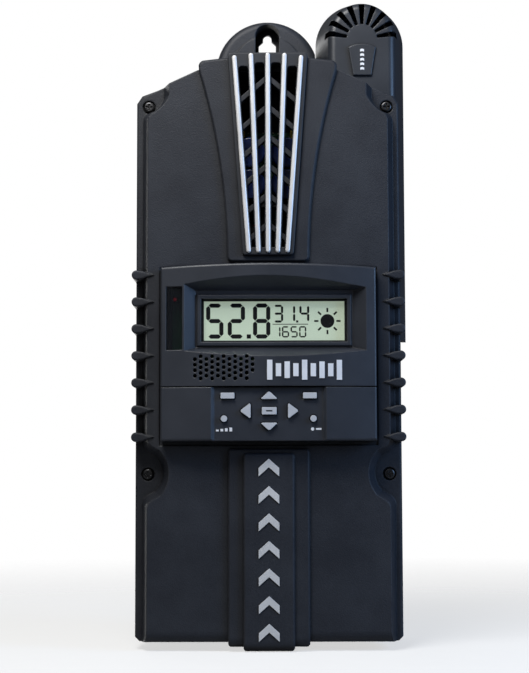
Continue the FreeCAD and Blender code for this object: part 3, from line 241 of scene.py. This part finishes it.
inkBlack = makeFinish("inkBlack", colour=(0.002, 0.0025, 0.0025), pale=(0.004, 0.0045, 0.0045),
                      wearColour=(0.006, 0.006, 0.006), grain=2500, bump=0.02, roughness=0.6, specular=0.2,
                      wear=0.1, edge=0.02 * mm)
print("coats and mouldings ready")

boardLook = {"mask": (0.008, 0.085, 0.03), "track": (0.012, 0.13, 0.05), "pad": (0.6, 0.55, 0.42),
             "trackScale": 170, "trackWide": 0.06, "padScale": 330, "padWide": 0.16, "relief": 0.1 * mm}


def makeBoardFinish():
    # solder mask with raised copper tracks and tinned pads under it
    graph = Graph(bpy.data.materials.new("circuitBoard"))
    place = graph.add("TexCoord", output="Object")
    tracks = graph.add("TexVoronoi", {"feature": "DISTANCE_TO_EDGE", "distance": "EUCLIDEAN"},
                       {"Vector": place, "Scale": boardLook["trackScale"], "Randomness": 0.6})
    pads = graph.add("TexVoronoi", None, {"Vector": place, "Scale": boardLook["padScale"],
                                               "Randomness": 0.35})
    grain = graph.add("TexNoise", None, {"Vector": place, "Scale": 900, "Detail": 2})
    track = tracks < boardLook["trackWide"]
    pad = pads < boardLook["padWide"]
    colour = graph.blend(pad, graph.blend(track, boardLook["mask"], boardLook["track"]), boardLook["pad"])
    normal = graph.add("Bump", None, {"Strength": 0.3, "Distance": boardLook["relief"],
                                      "Height": track + pad + grain * 0.2})
    return graph.surface(colour=colour, roughness=0.34 + grain * 0.1, metallic=pad * 0.8, normal=normal)


circuitBoard = makeBoardFinish()

# glow is the strength of the field's painted light
displayLook = {"ground": (0.40, 0.475, 0.365), "shade": (0.31, 0.375, 0.285), "rim": (0.012, 0.013, 0.014),
               "sideBorder": 4.4 * mm, "endBorder": 3.5 * mm, "cell": 1700, "cellLine": 0.12, "glow": 0.68}


def makeDisplayFinish():
    # the panel's grey-green field, with a faint cell grid and a black border; the field glows in its own
    # colour, painted light that stands in for light falling on it
    low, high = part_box("lcd_panel")
    middle, half = (low + high) / 2, (high - low) / 2
    graph = Graph(bpy.data.materials.new("displayField"))
    place = graph.add("TexCoord", output="Object")
    across = graph.add("SeparateXYZ", None, {"Vector": place}, "X") - middle.x
    up = graph.add("SeparateXYZ", None, {"Vector": place}, "Z") - middle.z
    inWidth = across.size() < half.x - displayLook["sideBorder"]
    inHeight = up.size() < half.z - displayLook["endBorder"]
    field = inWidth * inHeight
    lines = (across * displayLook["cell"]).fraction() < displayLook["cellLine"]
    rows = (up * displayLook["cell"]).fraction() < displayLook["cellLine"]
    drift = graph.add("TexNoise", None, {"Vector": place, "Scale": 22, "Detail": 2})
    tone = graph.clamp(graph.clamp(lines + rows) * 0.12 + (drift - 0.4) * 0.8)
    lit = graph.blend(tone, displayLook["ground"], displayLook["shade"])
    colour = graph.blend(field, displayLook["rim"], lit)
    # painted light: the field glows though the panel has no lamp
    glow = graph.blend(field, (0, 0, 0), displayLook["ground"])
    normal = graph.add("Bump", None, {"Strength": 0.05, "Distance": 0.05 * mm, "Height": lines + rows})
    return graph.surface(colour=colour, roughness=0.3 + drift * 0.1, normal=normal, glow=glow,
                         glowStrength=displayLook["glow"])


displayField = makeDisplayFinish()


def makeWindow(name, colour, alpha, smudge):
    # thin clear or smoked sheet with faint smudges
    graph = Graph(bpy.data.materials.new(name))
    place = graph.add("TexCoord", output="Object")
    marks = graph.add("TexNoise", None, {"Vector": place, "Scale": 45, "Detail": 5, "Roughness": 0.7})
    fine = graph.add("TexNoise", None, {"Vector": place, "Scale": 700, "Detail": 2})
    tone = graph.blend(marks, colour, tuple(1.4 * part for part in colour))
    normal = graph.add("Bump", None, {"Strength": 0.03, "Distance": 0.05 * mm, "Height": fine})
    cover = graph.clamp(alpha + (marks - 0.5) * 0.04)
    return graph.surface(colour=tone, roughness=0.06 + marks * smudge, alpha=cover, normal=normal,
                         specular=0.5)


clearWindow = makeWindow("clearWindow", (0.02, 0.022, 0.022), 0.06, 0.1)
smokedWindow = makeWindow("smokedWindow", (0.006, 0.0075, 0.0105), 0.5, 0.2)


lampLook = {"rim": (0.09, 0.002, 0.006), "core": (0.5, 0.01, 0.025), "glow": (0.7, 0.01, 0.03),
            "strength": 3.5}


def makeLamp():
    # a red lens, dim, brighter in its middle
    low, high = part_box("status_lamp")
    middle = (low + high) / 2
    graph = Graph(bpy.data.materials.new("redLens"))
    place = graph.add("TexCoord", output="Object")
    reach = graph.add("VectorMath", {"operation": "DISTANCE"}, {0: place, 1: middle}, "Value")
    core = graph.clamp(1 - reach / (high.x - middle.x))
    grain = graph.add("TexNoise", None, {"Vector": place, "Scale": 1500, "Detail": 2})
    colour = graph.blend(core, lampLook["rim"], lampLook["core"])
    glow = graph.blend(core * (0.7 + grain * 0.5), (0, 0, 0), lampLook["glow"])
    normal = graph.add("Bump", None, {"Strength": 0.1, "Distance": 0.05 * mm, "Height": grain})
    return graph.surface(colour=colour, roughness=0.15 + grain * 0.1, normal=normal, glow=glow,
                         glowStrength=lampLook["strength"])


redLens = makeLamp()
print("board, display and lamp finishes ready")

keyNames = [name for name in nodes if name.startswith("key_") and name != "key_icons"]
finishes = {
    powderCoat: ["rear_housing", "front_cover"],
    shroudMoulding: ["fan_shroud", "shroud_back_plate", "shroud_badge"],
    grillePaint: ["vent_grille"],
    brightTrim: ["grille_bars", "band_marks"],
    badgePrint: ["bezel_ornament", "key_icons"],
    bezelPlastic: ["display_bezel", "keypad_frame"],
    keyPlastic: keyNames,
    screwSteel: ["cover_screws"],
    zincSteel: ["shroud_screws", "board_screws", "display_screws", "terminal_screws",
                "ground_screws", "board_spacers"],
    blackPlastic: ["knockout_plugs", "shroud_fan_frame", "shroud_fan_rotor", "bay_fan_frame", "bay_fan_rotor",
                   "loudspeaker", "display_back", "cable_jacks", "power_transistors"],
    rubber: ["cover_gasket", "keypad_mat"],
    circuitBoard: ["display_board", "power_board", "control_board"],
    ferrite: ["inductor_cores"],
    copperWire: ["inductor_windings"],
    canSleeve: ["bulk_capacitors"],
    filmCase: ["film_capacitors"],
    terminalGreen: ["signal_terminals", "power_terminals"],
    tinnedCopper: ["ground_lug", "bus_links", "transistor_clamps"],
    ribbonGrey: ["display_ribbon"],
    displayField: ["lcd_panel"],
    clearWindow: ["lcd_window"],
    smokedWindow: ["signal_window"],
    redLens: ["status_lamp"],
}
for finish, names in finishes.items():
    for name in names:
        nodes[name].data.materials.clear()
        nodes[name].data.materials.append(finish)
print("nodes finished:", sum(len(names) for names in finishes.values()))


def addPiece(name, mesh, finish, body="case"):
    # turns a bmesh into a piece of the object that rides on a body
    data = bpy.data.meshes.new(name)
    mesh.to_mesh(data)
    mesh.free()
    data.materials.append(finish)
    piece = bpy.data.objects.new(name, data)
    bpy.context.scene.collection.objects.link(piece)
    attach(piece, body)
    return piece


def rectangle(left, right, low, high):
    return [(left, low), (right, low), (right, high), (left, high)]


def addPlate(mesh, outline, depth, thick):
    # a flat plate from corners (x, z), its face at a distance in front of the wall
    corners = [mesh.verts.new((x, -depth, z)) for x, z in outline]
    raisePlate(mesh, mesh.faces.new(corners), thick)


def raisePlate(mesh, face, thick):
    # gives a flat face its thickness, towards the front
    face.normal_update()
    if face.normal.y > 0:
        face.normal_flip()
    raised = bmesh.ops.extrude_face_region(mesh, geom=[face])
    moved = [item for item in raised["geom"] if isinstance(item, bmesh.types.BMVert)]
    bmesh.ops.translate(mesh, verts=moved, vec=(0, -thick, 0))


# What the display shows: three numbers and a sun

readoutLook = {
    "thick": 0.05 * mm,
    # number, left end and foot from the field's lower left corner, digit's width and height, stroke
    "rows": [("52.8", 1.2, 2.2, 7.2, 17, 2.3), ("31.4", 38, 10.4, 4.2, 8.6, 1.2),
             ("1650", 38, 2, 3.1, 5.4, 0.8)],
    "rule": (37.6, 57, 8.7, 9.1), "sun": (67.6, 10.6), "disc": 3.8, "discSegments": 40,
    "rays": (4.9, 7.2), "rayCount": 8, "rayWide": 1.0,
}
segmentsOf = {"0": "abcdef", "1": "bc", "2": "abged", "3": "abgcd", "4": "fgbc", "5": "afgcd",
              "6": "afgedc", "8": "abcdefg"}


def addSegment(mesh, start, stop, stroke, depth, thick):
    # one pointed bar of a digit
    along = (Vector(stop) - Vector(start)).normalized()
    across = Vector((-along.y, along.x)) * stroke / 2
    first = Vector(start) + along * 0.08 * stroke
    last = Vector(stop) - along * 0.08 * stroke
    inner, outer = first + along * stroke / 2, last - along * stroke / 2
    addPlate(mesh, [first, inner - across, outer - across, last, outer + across, inner + across],
             depth, thick)


def addDigit(mesh, digit, x, z, wide, high, stroke, depth, thick):
    # x, z is the lower left corner
    left, right, low, middle, top = x, x + wide, z, z + high / 2, z + high
    runs = {"a": ((left, top), (right, top)), "b": ((right, top), (right, middle)),
            "c": ((right, middle), (right, low)), "d": ((left, low), (right, low)),
            "e": ((left, middle), (left, low)), "f": ((left, top), (left, middle)),
            "g": ((left, middle), (right, middle))}
    for segment in segmentsOf[digit]:
        addSegment(mesh, *runs[segment], stroke, depth, thick)


def addRow(mesh, text, x, z, wide, high, stroke, depth, thick):
    for mark in text:
        if mark == ".":
            dot = rectangle(x - 1.1 * stroke, x - 0.1 * stroke, z - stroke / 2, z + stroke / 2)
            addPlate(mesh, dot, depth, thick)
            x += stroke * 0.9
        else:
            addDigit(mesh, mark, x, z, wide, high, stroke, depth, thick)
            x += wide + 2 * stroke


def makeReadout():
    low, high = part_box("lcd_panel")
    depth, thick = -low.y, readoutLook["thick"]
    left, foot = low.x + displayLook["sideBorder"], low.z + displayLook["endBorder"]
    mesh = bmesh.new()
    for text, x, z, *sizes in readoutLook["rows"]:
        addRow(mesh, text, left + (x + sizes[2] / 2) * mm, foot + z * mm,
               *(size * mm for size in sizes), depth, thick)
    start, stop, lower, upper = (part * mm for part in readoutLook["rule"])
    addPlate(mesh, rectangle(left + start, left + stop, foot + lower, foot + upper), depth, thick)
    sunX, sunZ = (part * mm for part in readoutLook["sun"])
    centre = Vector((left + sunX, foot + sunZ))
    disc = bmesh.ops.create_circle(
        mesh, cap_ends=True, segments=readoutLook["discSegments"], radius=readoutLook["disc"] * mm,
        matrix=Matrix.Translation((centre.x, -depth, centre.y)) @ Matrix.Rotation(math.pi / 2, 4, "X"))
    raisePlate(mesh, disc["verts"][0].link_faces[0], thick)
    near, far = (part * mm for part in readoutLook["rays"])
    for step in range(readoutLook["rayCount"]):
        turn = math.tau * step / readoutLook["rayCount"]
        along = Vector((math.cos(turn), math.sin(turn)))
        across = Vector((-along.y, along.x)) * readoutLook["rayWide"] * mm / 2
        addPlate(mesh, [centre + along * near - across, centre + along * far - across,
                        centre + along * far + across, centre + along * near + across], depth, thick)
    return addPiece("displayReadout", mesh, inkBlack)


makeReadout()
print("display readout made")

# Printed marks on the badge and on the middle key

badgeLook = {"marks": 5, "pitch": 2.75, "wide": 2.3, "high": 1.75, "notch": 0.7, "thick": 0.08}


def makeBadgeMarks():
    # five small notched marks down the badge
    low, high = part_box("shroud_badge")
    middle = (low + high) / 2
    half, tall, notch = (badgeLook[name] * mm / 2 for name in ("wide", "high", "notch"))
    mesh = bmesh.new()
    for number in range(badgeLook["marks"]):
        z = middle.z + (number - (badgeLook["marks"] - 1) / 2) * badgeLook["pitch"] * mm
        addPlate(mesh, [(middle.x - half, z - tall), (middle.x, z - tall + notch),
                        (middle.x + half, z - tall), (middle.x + half, z + tall - notch),
                        (middle.x, z + tall), (middle.x - half, z + tall - notch)],
                 -low.y, badgeLook["thick"] * mm)
    return addPiece("badgeMarks", mesh, badgePrint)


enterLook = {"half": 1.7, "high": 0.35, "thick": 0.04}


def makeEnterMark():
    # a short dark rule on the middle key
    low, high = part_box("key_enter")
    middle = (low + high) / 2
    half, high = enterLook["half"] * mm, enterLook["high"] * mm
    mesh = bmesh.new()
    addPlate(mesh, rectangle(middle.x - half, middle.x + half, middle.z - high, middle.z + high), -low.y,
             enterLook["thick"] * mm)
    return addPiece("enterMark", mesh, inkBlack, "key_enter")


makeBadgeMarks()
makeEnterMark()
print("printed marks made")

# Stage

stageLook = {"paper": (0.88, 0.88, 0.88), "fleck": (0.9, 0.9, 0.9), "reach": 1.2,
             "fadeFrom": 0.25, "fadeTo": 1.0, "cover": 0.45}


def makeStage():
    # a pale floor that fades out all round
    mesh = bmesh.new()
    bmesh.ops.create_circle(mesh, cap_ends=True, segments=96, radius=stageLook["reach"],
                            matrix=Matrix.Translation((0, 0, floorHeight)))
    data = bpy.data.meshes.new("floor")
    mesh.to_mesh(data)
    mesh.free()
    graph = Graph(bpy.data.materials.new("palePaper"))
    place = graph.add("TexCoord", output="Object")
    away = graph.add("VectorMath", {"operation": "LENGTH"}, {0: place}, "Value")
    share = graph.clamp((stageLook["fadeTo"] - away) / (stageLook["fadeTo"] - stageLook["fadeFrom"]))
    share = share * stageLook["cover"]
    grain = graph.add("TexNoise", None, {"Vector": place, "Scale": 60, "Detail": 3})
    colour = graph.blend(grain, stageLook["paper"], stageLook["fleck"])
    graph.surface(colour=colour, roughness=0.9 + grain * 0.05, alpha=share, specular=0.1)
    data.materials.append(graph.owner)
    floor = bpy.data.objects.new("floor", data)
    bpy.context.scene.collection.objects.link(floor)


lightLook = {
    # where, what it looks at, size, watts, colour
    "overhead": ((-0.15, -0.42, 0.34), (0, -0.05, 0.02), 0.3, 4.6, (1, 0.99, 0.97)),
    "front": ((-0.55, -1.4, 0.3), (0, -0.05, -0.05), 0.9, 1, (0.95, 0.97, 1)),
    "right": ((0.62, -0.4, -0.02), (0.03, -0.05, -0.2), 0.3, 3.2, (0.34, 0.58, 1)),
    "behind": ((-0.5, 1.2, -0.1), (0, 0, -0.15), 1, 9, (1, 1, 1)),
}
worldLook = {"seen": 1.0, "lit": 0.05}


def makeLights():
    for name, (place, target, size, watts, colour) in lightLook.items():
        lamp = bpy.data.lights.new(name, "AREA")
        lamp.size, lamp.energy, lamp.color = size, watts, colour
        light = bpy.data.objects.new(name, lamp)
        light.location = place
        light.rotation_mode = "QUATERNION"
        light.rotation_quaternion = (Vector(target) - Vector(place)).to_track_quat("-Z", "Y")
        bpy.context.scene.collection.objects.link(light)
    world = bpy.data.worlds.new("studio")
    bpy.context.scene.world = world
    graph = Graph(world)
    seen = graph.add("LightPath", output="Is Camera Ray")
    strength = worldLook["lit"] + seen * (worldLook["seen"] - worldLook["lit"])
    back = graph.tree.nodes["Background"]
    back.inputs["Color"].default_value = (1, 1, 1, 1)
    graph.feed(back.inputs["Strength"], strength)


cameraLook = {"place": (-2.16 * mm, -971.7 * mm, -264.9 * mm), "rise": 4.905, "roll": 0.15, "lens": 86.66,
              "sensor": 36, "near": 0.01, "far": 50}


def makeCamera():
    lens = bpy.data.cameras.new("camera")
    lens.lens, lens.sensor_width = cameraLook["lens"], cameraLook["sensor"]
    lens.clip_start, lens.clip_end = cameraLook["near"], cameraLook["far"]
    camera = bpy.data.objects.new("camera", lens)
    turn = Matrix.Rotation(math.radians(90 + cameraLook["rise"]), 4, "X") @ \
        Matrix.Rotation(math.radians(-cameraLook["roll"]), 4, "Z")
    camera.matrix_world = Matrix.Translation(cameraLook["place"]) @ turn
    bpy.context.scene.collection.objects.link(camera)
    bpy.context.scene.camera = camera


makeStage()
makeLights()
makeCamera()
bpy.context.scene.view_settings.view_transform = "Standard"
print("stage, lights and camera ready")
